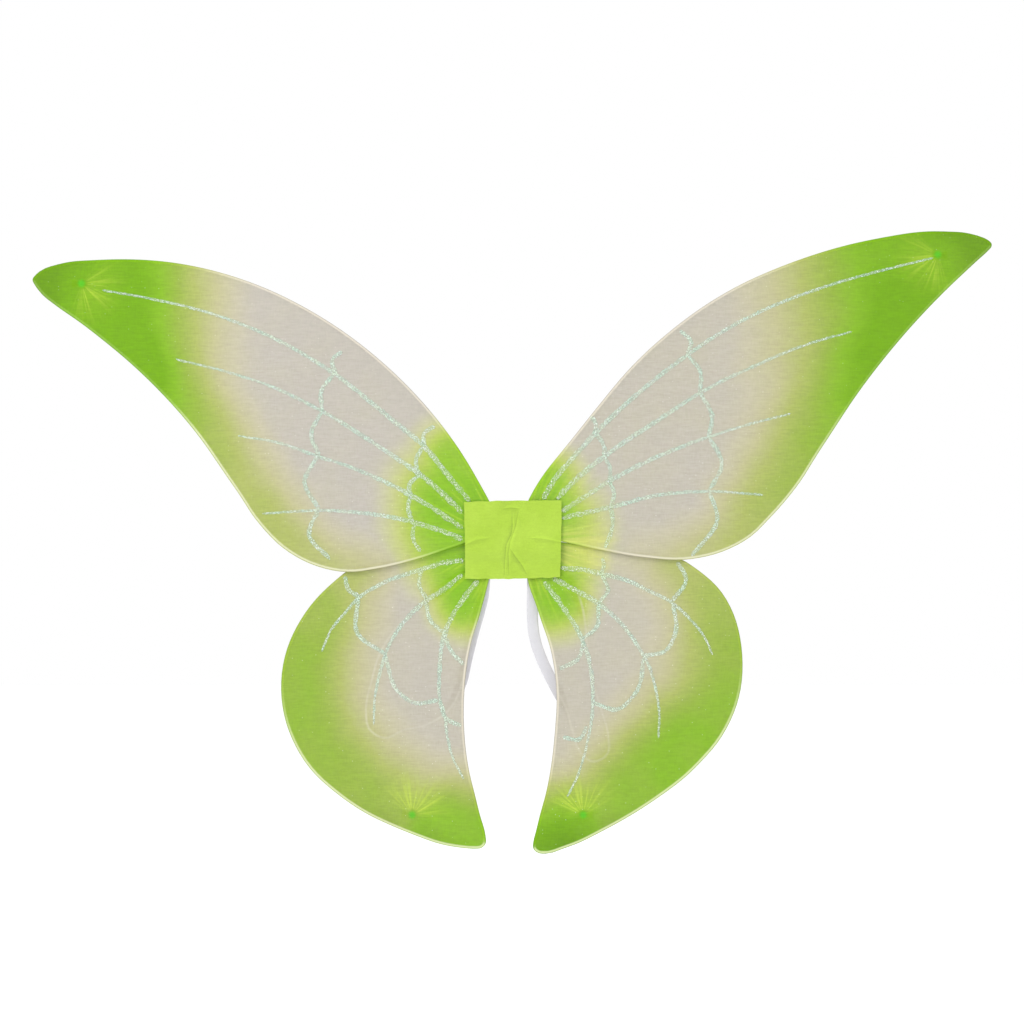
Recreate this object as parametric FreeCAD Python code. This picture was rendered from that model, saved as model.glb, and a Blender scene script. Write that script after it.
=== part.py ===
"""Fairy wings: four wire loops in stretched net sleeves, two felt patches that hold them, and two arm straps.

Millimetres, upright as worn: +Z is up, +X is to the side, the decorated face looks towards -Y and the wearer
stands at +Y. The origin is the centre of the back patch's rear face, which rests between the shoulder blades.

Each outline is drawn in the plane of the wings as (out, up): out is the distance from the middle, so that the
left and the right side use the same functions. The two sides were bent by hand and differ a little.
"""
import FreeCAD, Part
import cmath
import math
import os

Vector = FreeCAD.Vector
LEFT, RIGHT = -1, 1

# The stack of layers at the hub, as places along Y from the wearer's back to the decorated face.
PATCH_THICKNESS = 1.0
STRAP_THICKNESS = 1.0
STRAP_LAYER = -1.6
LOWER_LAYER = -3.8
UPPER_LAYER = -7.3
FRONT_PATCH_REAR = -9.4

# The wire loops and the net sleeves stretched over them.
WIRE_DIAMETER = 2.2
WIRE_CLEARANCE = 0.15
NET_WALL = 0.25
SLEEVE_HALF = WIRE_DIAMETER / 2 + WIRE_CLEARANCE + NET_WALL
MOUTH_CENTRE = 9.5
MOUTH_RADIUS = 22.0

# The glitter veins: lines of dried glue that taper from the hub outwards.
VEIN_THICKNESS = 0.35
VEIN_ROOT_WIDTH = 4.2
VEIN_TIP_WIDTH = 1.6
SCALLOP_WIDTH = 3.6

# The knot that closes each sleeve, behind the rear layer of net, and its loose tail.
KNOT_RADIUS = 4.5
KNOT_SINK = 2.0
TAIL_LENGTH = 9.0
TAIL_RADIUS = 3.0

# The tape that binds the wire ends of one side, and the glue pad beside it.
TAPE_OUT = (11.0, 22.0)
TAPE_UP = (-8.0, 8.0)
GLUE_OUT = 30.0
GLUE_UP = 14.0
GLUE_RADIUS = 6.0

STRAP_WIDTH = 10.0
# The tangent arc at each corner of a strap's path uses this share of the shorter run beside it.
ARC_SHARE = 0.45

# Corners of the patches, clockwise from top left, and how far each side bows outwards between its corners.
PATCH_CORNERS = [(-43.8, 33.6), (43.9, 34.9), (42.6, -33.9), (-42.9, -35.4)]
PATCH_BOWS = [0.6, 0.3, 0.8, -0.4]

# Outer edges of the sleeves, clockwise as seen on the right side: (out, up) or (out, up, heading in degrees).
# Each starts at a wire end inside the hub, runs out to the tip and comes back to the other wire end.
UPPER_LEFT = [
    (10.9, 3, 90), (21, 34.5, 62), (55, 91), (109, 152), (173, 200.5), (238, 232), (303, 248.5),
    (368, 251.5), (408, 247.5), (422, 243, -26), (430.6, 235.8, -50), (431.2, 231.5, -118),
    (419, 216.5, -142), (379, 187.5), (335, 150.5), (292, 105), (249, 45), (227, 13), (206, -8),
    (184, -21), (149, -29.4), (119, -26), (88, -18.6), (44.7, -4.2, 162), (20, 0, 180),
]
UPPER_RIGHT = [
    (11.2, 3, 90), (11.3, 18, 88), (14, 35, 64), (61, 100), (125, 173), (190, 221), (255, 250.5),
    (320, 269), (385, 277), (413, 274.5), (424, 271, -24), (429.8, 267, -46), (429.6, 261.8, -132),
    (414, 247.2), (386, 220.5), (359, 192), (320, 144.5), (277, 81), (255, 47), (233, 21), (212, 1),
    (190, -10.5), (158, -18), (115, -16), (79, -9.6), (44, -2, 168), (20, 0, 180),
]
LOWER_LEFT = [
    (20, 0, 0), (45, -3.5, -14), (88, -15.5), (125, -22.5), (150, -29, -38), (186, -65, -55), (206, -109),
    (207, -152), (190.5, -195), (146, -238), (98, -262.5), (52, -277), (31, -278.5, 176),
    (23.9, -271, 86), (31, -242), (41, -198), (44, -160), (43, -131), (38, -96), (28.5, -64), (21, -35, 104),
    (12, -6, 100),
]
LOWER_RIGHT = [
    (20, 0, 0), (45, -2.5, -9), (97, -10), (135, -14.5), (155, -19.5, -32), (193, -55, -60), (207, -109),
    (204, -141), (191, -173), (164, -206), (123, -238), (86, -260), (50, -277), (27, -283.2, 178),
    (18.2, -275.5, 85), (22, -258.5), (32, -219), (38, -173), (39.5, -140), (35, -103), (23, -65),
    (13, -34, 100), (10.9, -6, 90),
]

# Veins run outwards from the hub, scallops link one vein to the next or to the edge.
UPPER_LEFT_VEINS = [
    [(38, 34), (56, 55), (80, 84), (109, 108), (162, 150), (211, 179), (271, 203), (329, 217), (369, 224)],
    [(45, 24), (65, 43), (84, 59), (109, 76), (171, 115), (211, 135), (255, 150), (303, 162)],
    [(45, 10), (67, 25), (92, 40), (138, 62), (176, 75), (211, 87), (247, 93)],
    [(45, 0), (65, 8), (88, 15), (109, 20), (138, 24), (176, 26), (197, 25), (225, 23)],
]
UPPER_LEFT_SCALLOPS = [
    [(70, 102), (80, 94), (79, 83)], [(81, 83), (87, 70), (84, 58)], [(85, 57), (93, 49), (92, 40)],
    [(92, 39), (94, 28), (90, 15)], [(88, 14), (90, 3), (83, -11)],
    [(153, 169), (162, 161), (159, 148)], [(161, 148), (172, 133), (171, 115)],
    [(172, 114), (181, 95), (174, 75)], [(176, 74), (187, 52), (174, 27)], [(175, 26), (183, 5), (164, -18)],
]
UPPER_RIGHT_VEINS = [
    [(27, 36), (37, 53), (52, 71), (73, 94), (132, 147), (205, 196), (293, 231), (337, 243), (378, 253)],
    [(39, 36), (58, 55), (83, 75), (132, 108), (169, 132), (220, 157), (264, 175), (305, 187)],
    [(44, 25), (64, 38), (88, 53), (132, 75), (176, 92), (211, 103), (250, 113)],
    [(44, 19), (88, 29), (132, 40), (176, 43), (225, 40)],
]
UPPER_RIGHT_SCALLOPS = [
    [(70, 111), (75, 103), (73, 94)], [(75, 95), (82, 84), (82, 74)], [(83, 74), (88, 62), (87, 53)],
    [(87, 52), (91, 41), (88, 29)], [(88, 28), (90, 16), (83, -8)],
    [(150, 188), (160, 178), (157, 166)], [(158, 165), (169, 150), (168, 132)],
    [(169, 131), (179, 111), (176, 92)], [(177, 91), (188, 68), (176, 43)],
    [(177, 42), (184, 20), (161, -15)],
]
LOWER_LEFT_VEINS = [
    [(44, -19), (62, -21), (82, -27), (118, -40), (138, -52), (150, -65), (163, -81), (172, -101)],
    [(45, -31), (62, -45), (79, -56), (95, -71), (109, -91), (120, -122), (124, -143), (125, -167)],
    [(31, -37), (44, -53), (61, -84), (66, -123), (66, -140), (61, -158), (59, -177), (54, -196), (44, -216)],
]
LOWER_LEFT_SCALLOPS = [
    [(82, -26), (84, -42), (77, -54)], [(78, -56), (74, -73), (62, -84)], [(62, -85), (55, -101), (44, -113)],
    [(151, -33), (148, -45), (138, -52)], [(139, -53), (140, -84), (115, -103)],
    [(115, -104), (103, -137), (89, -147), (67, -145)], [(66, -145), (60, -161), (46, -168)],
]
LOWER_RIGHT_VEINS = [
    [(43, -26), (62, -27), (79, -31), (103, -37), (124, -47), (142, -56), (158, -70), (172, -87),
     (180, -104)],
    [(36, -35), (55, -45), (76, -57), (97, -75), (110, -92), (123, -115), (129, -136), (132, -156),
     (131, -179)],
    [(28, -38), (41, -55), (62, -89), (70, -115), (72, -136), (72, -151), (67, -184), (58, -214), (49, -232)],
]
LOWER_RIGHT_SCALLOPS = [
    [(81, -16), (82, -24), (79, -31)], [(80, -32), (86, -45), (77, -58)], [(77, -59), (76, -78), (63, -90)],
    [(64, -91), (60, -106), (42, -117)], [(148, -20), (156, -36), (143, -56)],
    [(144, -57), (147, -81), (138, -100), (117, -105)], [(118, -106), (112, -136), (94, -153), (72, -147)],
    [(67, -168), (60, -180), (45, -178)],
]

# Knots, one in each tip.
KNOTS = {
    ("upper", LEFT): (387.5, 230), ("upper", RIGHT): (382, 256),
    ("lower", LEFT): (90.5, -248), ("lower", RIGHT): (63.5, -248),
}

# The straps' paths as (out, along Y, up), from one end in the hub to the other.
LEFT_STRAP = [
    (25, STRAP_LAYER, -22), (25, STRAP_LAYER, -46), (30, 1.6, -66), (36.5, 3.8, -88), (42, 4.8, -111),
    (46.5, 5.2, -133), (58, 5.4, -154), (78, 5.6, -167), (99, 5.5, -172), (115, 5.3, -179), (129, 5.2, -171),
    (132, 5.1, -153), (127, 4.9, -128), (120, 4.7, -104), (108, 4.2, -84), (93, 3.2, -68), (76, 1.2, -54),
    (57, STRAP_LAYER, -40), (36, STRAP_LAYER, -27),
]
RIGHT_STRAP = [
    (18, STRAP_LAYER, -22), (18, STRAP_LAYER, -46), (17.5, 1.8, -66), (19, 4.2, -88), (26, 5, -109),
    (37, 5.5, -131), (48, 5.5, -152), (54, 5.4, -173), (60, 5.3, -190), (72, 5.2, -200), (85, 5.1, -194),
    (86, 5, -177), (79, 5, -151), (71, 4.8, -124), (67, 4.6, -99), (65.5, 3.4, -78), (62, 0.8, -58),
    (53, STRAP_LAYER, -38), (34, STRAP_LAYER, -20),
]


def unit(number):
    return number / abs(number)


def tangent(places, i):
    """Direction at places[i] of the circle through it and its neighbours, or at an end of the next circle."""
    if len(places) == 2:
        return unit(places[1] - places[0])
    if i == 0:
        return unit(places[1] - places[0]) ** 2 * tangent(places, 1).conjugate()
    if i == len(places) - 1:
        return unit(places[i] - places[i - 1]) ** 2 * tangent(places, i - 1).conjugate()
    before, after = places[i] - places[i - 1], places[i + 1] - places[i]
    return unit(before / abs(before) ** 2 + after / abs(after) ** 2)


def meeting(first, second):
    """The joint where two arcs meet that are tangent to both given joints and to each other."""
    (p, s), (q, t) = first, second
    chord = q - p
    along = (chord.conjugate() * (s + t)).real
    bend = 2 * (1 - (s.conjugate() * t).real)
    if bend < 1e-9:
        reach = abs(chord) ** 2 / (2 * along)
    else:
        reach = (math.sqrt(along ** 2 + bend * abs(chord) ** 2) - along) / bend
    return (p + q + reach * (s - t)) / 2, unit(chord - reach * (s + t))


def smooth(points):
    """Joints (place, direction) of a chain of tangent arcs through the points."""
    places = [complex(point[0], point[1]) for point in points]
    joints = []
    for i, point in enumerate(points):
        given = len(point) == 3
        direction = cmath.rect(1, math.radians(point[2])) if given else tangent(places, i)
        here = (places[i], direction)
        if joints:
            joints.append(meeting(joints[-1], here))
        joints.append(here)
    return joints


def inset(joints, distance):
    return [(p - 1j * t * distance, t) for p, t in joints]


def halfway(first, second):
    """The middle of the arc that leaves the first joint along its direction and ends at the second."""
    (p, t), q = first, second[0]
    normal = 1j * t
    chord = q - p
    sideways = (normal.conjugate() * chord).real
    if abs(sideways) < 1e-5 * abs(chord):
        return None
    radius = abs(chord) ** 2 / (2 * sideways)
    centre = p + normal * radius
    return centre + abs(radius) * unit((p + q) / 2 - centre)


def point_at(place, side, y):
    return Vector(side * place.real, y, place.imag)


def edge(start, middle, end, side, y):
    ends = point_at(start, side, y), point_at(end, side, y)
    if middle is None:
        return Part.LineSegment(*ends).toShape()
    return Part.Arc(ends[0], point_at(middle, side, y), ends[1]).toShape()


def edges(joints, side, y):
    pairs = zip(joints, joints[1:])
    return [edge(a[0], halfway(a, b), b[0], side, y) for a, b in pairs]


def slab(joints, side, y, thickness):
    """A plate with the outline of the joints, closed by a straight line, from y towards +Y."""
    outline = edges(joints, side, y)
    outline.append(edge(joints[-1][0], None, joints[0][0], side, y))
    return Part.Face(Part.Wire(outline)).extrude(Vector(0, thickness, 0))


def cylinder(place, side, radius, y, length):
    return Part.makeCylinder(radius, length, point_at(place, side, y), Vector(0, 1, 0))


def frame_wire(outline, side, layer):
    """One bent steel wire: its centre line lies half a sleeve inside the sleeve's outer edge."""
    joints = inset(smooth(outline), SLEEVE_HALF)
    path = Part.Wire(edges(joints, side, layer))
    start, direction = joints[0]
    section = Part.Circle(point_at(start, side, layer), point_at(direction, side, 0), WIRE_DIAMETER / 2)
    wire = path.makePipeShell([Part.Wire(section.toShape())], True, False)
    expected = math.pi * WIRE_DIAMETER ** 2 / 4 * path.Length
    print(f"wire length {path.Length:.1f} volume {wire.Volume:.1f} expected {expected:.1f}")
    return wire


def net_cover(outline, side, layer):
    """A flat net sleeve round the wire, open where it is bunched in the hub."""
    outer = slab(smooth(outline), side, layer - SLEEVE_HALF, 2 * SLEEVE_HALF)
    inner = slab(inset(smooth(outline), NET_WALL), side, layer - SLEEVE_HALF + NET_WALL,
                 2 * (SLEEVE_HALF - NET_WALL))
    mouth = cylinder(MOUTH_CENTRE, side, MOUTH_RADIUS, layer - 2 * SLEEVE_HALF, 4 * SLEEVE_HALF)
    return outer.cut(inner).cut(mouth)


def stroke(points, root_width, tip_width, side, y):
    """A flat line through the points whose width changes evenly from its first end to its last."""
    joints = smooth(points)
    span = len(joints) - 1
    rims = []
    for hand in (1j, -1j):
        rim = []
        for i in range(span):
            a, b = joints[i], joints[i + 1]
            widths = [root_width + (tip_width - root_width) * (i + part) / span for part in (0, 0.5, 1)]
            middle = halfway(a, b)
            if middle is not None:
                middle += hand * unit(b[0] - a[0]) * widths[1] / 2
            rim.append((a[0] + hand * a[1] * widths[0] / 2, middle, b[0] + hand * b[1] * widths[2] / 2))
        rims.append(rim)
    there, back = rims
    outline = [edge(*piece, side, y) for piece in there]
    outline.append(edge(there[-1][2], None, back[-1][2], side, y))
    outline += [edge(end, middle, start, side, y) for start, middle, end in reversed(back)]
    outline.append(edge(back[0][0], None, there[0][0], side, y))
    return Part.Face(Part.Wire(Part.__sortEdges__(outline)))


def glitter_veins(veins, scallops, side, layer):
    y = layer - SLEEVE_HALF
    lines = [stroke(points, VEIN_ROOT_WIDTH, VEIN_TIP_WIDTH, side, y) for points in veins]
    lines += [stroke(points, SCALLOP_WIDTH, SCALLOP_WIDTH, side, y) for points in scallops]
    solids = [line.extrude(Vector(0, -VEIN_THICKNESS, 0)) for line in lines]
    return solids[0].multiFuse(solids[1:]).removeSplitter()


def tip_knot(place, side, layer):
    """A knot in the sleeve's end, flat where it lies on the rear layer of net, with a short flared tail."""
    rear = layer + SLEEVE_HALF
    centre = Vector(side * place[0], rear + KNOT_RADIUS - KNOT_SINK, place[1])
    ball = Part.makeSphere(KNOT_RADIUS, centre)
    tail = Part.makeCone(1.0, TAIL_RADIUS, TAIL_LENGTH, centre, Vector(side, 0.15, 0.1))
    size = 6 * KNOT_RADIUS
    behind = Part.makeBox(size, size, size, Vector(centre.x - size / 2, rear, centre.z - size / 2))
    return ball.fuse(tail).common(behind)


def block(out, up, side, rear, front):
    corner = Vector(min(side * out[0], side * out[1]), front, up[0])
    return Part.makeBox(out[1] - out[0], rear - front, up[1] - up[0], corner)


def root_tape(side, wires):
    """Tape wrapped round the wire ends of one side, pressed close about them."""
    rear = LOWER_LAYER + SLEEVE_HALF
    front = UPPER_LAYER - SLEEVE_HALF
    tape = block(TAPE_OUT, TAPE_UP, side, rear, front)
    for wire in wires:
        tape = tape.cut(wire)
    return tape


def glue_pad(side):
    """The drop of hot glue between the back patch and the upper sleeve."""
    rear = -PATCH_THICKNESS
    front = UPPER_LAYER + SLEEVE_HALF
    return cylinder(complex(GLUE_OUT, GLUE_UP), side, GLUE_RADIUS, front, rear - front)


def patch_plate(rear, thickness):
    """The felt rectangle with its slightly bowed sides, from rear towards the decorated face."""
    outline = []
    for i, bow in enumerate(PATCH_BOWS):
        start, end = complex(*PATCH_CORNERS[i]), complex(*PATCH_CORNERS[(i + 1) % len(PATCH_CORNERS)])
        middle = (start + end) / 2 + 1j * unit(end - start) * bow
        outline.append(edge(start, middle, end, RIGHT, rear))
    return Part.Face(Part.Wire(outline)).extrude(Vector(0, -thickness, 0))


def rounded_path(corners):
    """Straight runs through the corners, joined by tangent arcs as large as the shorter run allows."""
    pieces, radii = [], []
    last = corners[0]
    for before, corner, after in zip(corners, corners[1:], corners[2:]):
        back, ahead = before - corner, after - corner
        turn = math.pi - back.getAngle(ahead)
        cut = ARC_SHARE * min(back.Length, ahead.Length)
        radius = cut / math.tan(turn / 2)
        start = corner + Vector(back).normalize() * cut
        end = corner + Vector(ahead).normalize() * cut
        inward = (Vector(back).normalize() + Vector(ahead).normalize()).normalize()
        middle = corner + inward * (radius / math.cos(turn / 2) - radius)
        pieces.append(Part.LineSegment(last, start).toShape())
        pieces.append(Part.Arc(start, middle, end).toShape())
        radii.append(round(radius, 1))
        last = end
    pieces.append(Part.LineSegment(last, corners[-1]).toShape())
    return Part.Wire(pieces), radii


def strap(route, side):
    """A flat elastic band, its width kept in the plane of the wings."""
    corners = [Vector(side * out, y, up) for out, y, up in route]
    path, radii = rounded_path(corners)
    start = corners[0]
    half_width, half_thickness = STRAP_WIDTH / 2, STRAP_THICKNESS / 2
    across = (-1, -1), (1, -1), (1, 1), (-1, 1), (-1, -1)
    rim = [start + Vector(a * half_width, b * half_thickness, 0) for a, b in across]
    sweep = Part.BRepOffsetAPI.MakePipeShell(path)
    sweep.setBiNormalMode(Vector(0, 1, 0))
    sweep.add(Part.makePolygon(rim))
    sweep.build()
    sweep.makeSolid()
    band = sweep.shape()
    expected = STRAP_WIDTH * STRAP_THICKNESS * path.Length
    print(f"strap radii {radii} length {path.Length:.1f} volume {band.Volume:.1f} expected {expected:.1f}")
    return band


OUTLINES = {
    ("upper", LEFT): UPPER_LEFT, ("upper", RIGHT): UPPER_RIGHT,
    ("lower", LEFT): LOWER_LEFT, ("lower", RIGHT): LOWER_RIGHT,
}
VEINS = {
    ("upper", LEFT): (UPPER_LEFT_VEINS, UPPER_LEFT_SCALLOPS),
    ("upper", RIGHT): (UPPER_RIGHT_VEINS, UPPER_RIGHT_SCALLOPS),
    ("lower", LEFT): (LOWER_LEFT_VEINS, LOWER_LEFT_SCALLOPS),
    ("lower", RIGHT): (LOWER_RIGHT_VEINS, LOWER_RIGHT_SCALLOPS),
}
LAYERS = {"upper": UPPER_LAYER, "lower": LOWER_LAYER}
SIDES = {"left": LEFT, "right": RIGHT}
STRAPS = {"left": LEFT_STRAP, "right": RIGHT_STRAP}


def build():
    nodes = {
        "back_patch": patch_plate(0, PATCH_THICKNESS),
        "front_patch": patch_plate(FRONT_PATCH_REAR, PATCH_THICKNESS),
    }
    under_patches = patch_plate(0, -FRONT_PATCH_REAR)
    for side_name, side in SIDES.items():
        for level, layer in LAYERS.items():
            outline = OUTLINES[level, side]
            name = f"{level}_{side_name}"
            nodes[f"{name}_frame_wire"] = frame_wire(outline, side, layer)
            nodes[f"{name}_net_cover"] = net_cover(outline, side, layer)
            nodes[f"{name}_glitter_veins"] = glitter_veins(*VEINS[level, side], side, layer)
            nodes[f"{name}_tip_knot"] = tip_knot(KNOTS[level, side], side, layer)
        wires = [nodes[f"{level}_{side_name}_frame_wire"] for level in LAYERS]
        nodes[f"{side_name}_root_tape"] = root_tape(side, wires)
        nodes[f"{side_name}_glue_pad"] = glue_pad(side)
        band = strap(STRAPS[side_name], side)
        nodes[f"{side_name}_arm_strap"] = band.cut(under_patches)
        nodes[f"{side_name}_strap_ends"] = band.common(under_patches)
    return nodes


os.makedirs("parts", exist_ok=True)
for node, shape in build().items():
    box = shape.BoundBox
    print(f"{node}: solids {len(shape.Solids)} valid {shape.isValid()} volume {shape.Volume:.0f}")
    across = f"x {box.XMin:.1f}..{box.XMax:.1f} y {box.YMin:.2f}..{box.YMax:.2f}"
    print(f"  {across} z {box.ZMin:.1f}..{box.ZMax:.1f}")
    shape.exportStep(f"parts/{node}.step")
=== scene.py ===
"""Fairy wings: the looks of the net sleeves, glitter glue, felt patches and arm straps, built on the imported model.

Everything stands in the model's own frame: +Z is up, the decorated face looks towards -Y, and the origin is at the
middle of the wearer's side of the back patch. Outlines and sizes are worked out in millimetres, with places in the
plane of the wings written as (x, z), and become metres when a mesh is made.
"""
import math

import bmesh
import bpy
import numpy as np
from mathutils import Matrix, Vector, kdtree, noise


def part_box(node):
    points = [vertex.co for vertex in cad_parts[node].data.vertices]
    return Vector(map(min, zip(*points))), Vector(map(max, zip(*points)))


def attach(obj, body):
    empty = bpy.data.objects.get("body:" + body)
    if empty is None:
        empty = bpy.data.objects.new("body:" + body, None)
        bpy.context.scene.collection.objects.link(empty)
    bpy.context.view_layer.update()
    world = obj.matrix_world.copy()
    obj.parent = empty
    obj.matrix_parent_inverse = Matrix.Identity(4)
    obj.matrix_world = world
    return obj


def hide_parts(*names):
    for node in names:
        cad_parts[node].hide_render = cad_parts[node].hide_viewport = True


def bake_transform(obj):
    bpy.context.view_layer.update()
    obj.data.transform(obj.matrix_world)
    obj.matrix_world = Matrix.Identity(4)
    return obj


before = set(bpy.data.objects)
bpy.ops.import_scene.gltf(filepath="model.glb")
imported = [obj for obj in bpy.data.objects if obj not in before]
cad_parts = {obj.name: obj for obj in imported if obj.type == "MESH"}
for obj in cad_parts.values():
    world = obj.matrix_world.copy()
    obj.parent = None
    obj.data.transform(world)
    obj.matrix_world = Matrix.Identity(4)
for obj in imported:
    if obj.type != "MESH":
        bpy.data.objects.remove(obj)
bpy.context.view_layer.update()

bl_info = {
    "name": "Fairy Wings",
    "version": (1, 0, 0),
    "blender": (4, 5, 0),
    "location": "View3D > Sidebar > Fairy Wings",
    "description": "Dyed net wings with glitter glue veins, felt patches and elastic arm straps",
    "category": "Object",
}

MM = 0.001
SIDES = {"left": -1, "right": 1}

# Places along Y at the hub, in mm: the middle of each net, and the outer and inner face of each felt patch.
NET_LAYER = {"upper": -7.3, "lower": -3.8}
FELT_FACES = {"back": (0.0, -1.0), "front": (-10.4, -9.4)}

# The sleeves: where the net bunches into the hub, how far it stands off over the wire and away from it.
MOUTH_CENTRE = 9.5
MOUTH_RADIUS = 22.0
NET_OVER_WIRE = 1.3
NET_SAG = 0.35
RIM_STEPS = np.array([0, 0.25, 0.6, 1.0, 1.5, 2.1, 3.0, 4.2])
EDGE_STOPS = 1600
SLEEVE_ROWS = 92
SLEEVE_COLUMNS = 78

# Each sleeve's point, as (out, up), and half the length of edge that is its blunt end.
TIPS = {
    "upper_left": (431.5, 233.5), "upper_right": (431, 264.5),
    "lower_left": (26, -277), "lower_right": (20, -281),
}
TIP_HALF = 3.0
SLEEVES = list(TIPS)

# The knots, one in each sleeve: (out, up).
KNOTS = {
    "upper_left": (387.5, 230), "upper_right": (382, 256), "lower_left": (90.5, -248), "lower_right": (63.5, -248),
}
KNOT_DEPTH = {"upper": -3.3, "lower": 0.2}
# A knot's profile outwards along its axis: (distance along, radius, how deep its flutes are).
KNOT_PROFILE = [
    (-4.3, 0.05, 0), (-4.1, 1.2, 0.05), (-3.3, 2.7, 0.1), (-1.9, 3.8, 0.12), (-0.2, 4.3, 0.12), (1.4, 4.1, 0.1),
    (2.6, 3.3, 0.08), (3.3, 2.4, 0.05), (3.7, 2.5, 0.02), (4.2, 2.8, 0.02), (4.6, 2.5, 0.02), (5.0, 2.0, 0.1),
    (5.8, 1.9, 0.2), (7.0, 2.3, 0.3), (8.2, 2.7, 0.35), (9.2, 2.9, 0.38), (9.0, 2.3, 0.35), (8.0, 1.4, 0.2),
    (7.2, 0.6, 0.1), (7.0, 0.05, 0),
]
KNOT_TURNS = 44

# Dye, as the stops of a brush's line: (out, up, full, faint, strength). The dye keeps its strength as far from the
# line as full says, and is gone at faint.
TIP_DYE = {
    "upper_left": [
        [(440, 300, 95, 222, 1.0), (440, 0, 95, 222, 1.0)],
        [(342, 158, 12, 80, 0.74), (292, 105, 12, 74, 0.64), (249, 45, 8, 70, 0.56), (206, -8, 8, 62, 0.55),
         (165, -27, 4, 52, 0.46), (119, -26, 0, 42, 0.26)],
    ],
    "upper_right": [
        [(440, 320, 105, 266, 0.96), (440, 0, 105, 262, 0.76)],
        [(359, 192, 8, 90, 0.72), (277, 81, 14, 92, 0.62), (233, 21, 12, 78, 0.58), (205, -5, 8, 62, 0.5),
         (158, -18, 2, 50, 0.34), (120, -16, 0, 36, 0.14)],
    ],
    "lower_left": [
        [(122, -22, 0, 40, 0.25), (150, -29, 8, 60, 0.5), (186, -65, 16, 90, 0.66), (206, -109, 20, 105, 0.74),
         (207, -152, 20, 105, 0.75), (190, -195, 20, 105, 0.73), (146, -238, 16, 100, 0.7),
         (98, -262, 14, 94, 0.68), (60, -272, 22, 90, 0.84), (25, -277, 16, 92, 0.84)],
    ],
    "lower_right": [
        [(122, -14, 0, 40, 0.25), (155, -20, 8, 60, 0.46), (193, -55, 14, 86, 0.6), (207, -109, 14, 106, 0.7),
         (204, -141, 16, 106, 0.74), (191, -173, 24, 108, 0.78), (164, -206, 32, 108, 0.82),
         (123, -238, 28, 102, 0.78), (86, -260, 16, 90, 0.76), (50, -270, 16, 86, 0.92), (20, -280, 12, 86, 0.94)],
    ],
}
ROOT_DYE = {
    "left": [(52, 70, 6, 60, 0.74), (48, 30, 17, 90, 0.84), (45, 10, 16, 95, 0.8), (42, -55, 3, 54, 0.84)],
    "right": [(28, 48, 4, 56, 0.8), (34, 10, 6, 78, 0.74), (36, -52, 3, 60, 0.82)],
}
# Dye that has spread all over each net.
WASH = {"upper_left": 0.01, "upper_right": 0.05, "lower_left": 0.05, "lower_right": 0.06}

# The colour seen where two layers of net lie on white, by how much dye they took, at the tips and at the root.
TIP_SHADES = [
    (0.0, (201, 196, 185)), (0.15, (205, 200, 174)), (0.35, (199, 197, 150)), (0.55, (181, 191, 111)),
    (0.75, (156, 184, 76)), (0.9, (139, 187, 50)), (1.0, (122, 174, 36)),
]
ROOT_SHADES = [
    (0.0, (201, 196, 185)), (0.15, (205, 204, 170)), (0.35, (200, 207, 134)), (0.5, (185, 205, 100)),
    (0.65, (163, 200, 74)), (0.8, (144, 194, 54)), (1.0, (126, 184, 42)),
]

# Glitter glue, in (out, up): veins run outwards from the hub, scallops link one vein to the next or to the edge.
VEINS = {
    "upper_left": [
        [(38, 34), (56, 55), (80, 84), (109, 108), (162, 150), (211, 179), (271, 203), (329, 217), (369, 224)],
        [(45, 24), (65, 43), (84, 59), (109, 76), (171, 115), (211, 135), (255, 150), (303, 162)],
        [(45, 10), (67, 25), (92, 40), (138, 62), (176, 75), (211, 87), (247, 93)],
        [(45, 0), (65, 8), (88, 15), (109, 20), (138, 24), (176, 26), (197, 25), (225, 23)],
    ],
    "upper_right": [
        [(27, 36), (37, 53), (52, 71), (73, 94), (132, 147), (205, 196), (293, 231), (337, 243), (378, 253)],
        [(39, 36), (58, 55), (83, 75), (132, 108), (169, 132), (220, 157), (264, 175), (305, 187)],
        [(44, 25), (64, 38), (88, 53), (132, 75), (176, 92), (211, 103), (250, 113)],
        [(44, 19), (88, 29), (132, 40), (176, 43), (225, 40)],
    ],
    "lower_left": [
        [(44, -19), (62, -21), (82, -27), (118, -40), (138, -52), (150, -65), (163, -81), (172, -101)],
        [(45, -31), (62, -45), (79, -56), (95, -71), (109, -91), (120, -122), (124, -143), (125, -167)],
        [(31, -37), (44, -53), (61, -84), (66, -123), (66, -140), (61, -158), (59, -177), (54, -196), (44, -216)],
    ],
    "lower_right": [
        [(43, -26), (62, -27), (79, -31), (103, -37), (124, -47), (142, -56), (158, -70), (172, -87), (180, -104)],
        [(36, -35), (55, -45), (76, -57), (97, -75), (110, -92), (123, -115), (129, -136), (132, -156), (131, -179)],
        [(28, -38), (41, -55), (62, -89), (70, -115), (72, -136), (72, -151), (67, -184), (58, -214), (49, -232)],
    ],
}
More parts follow.
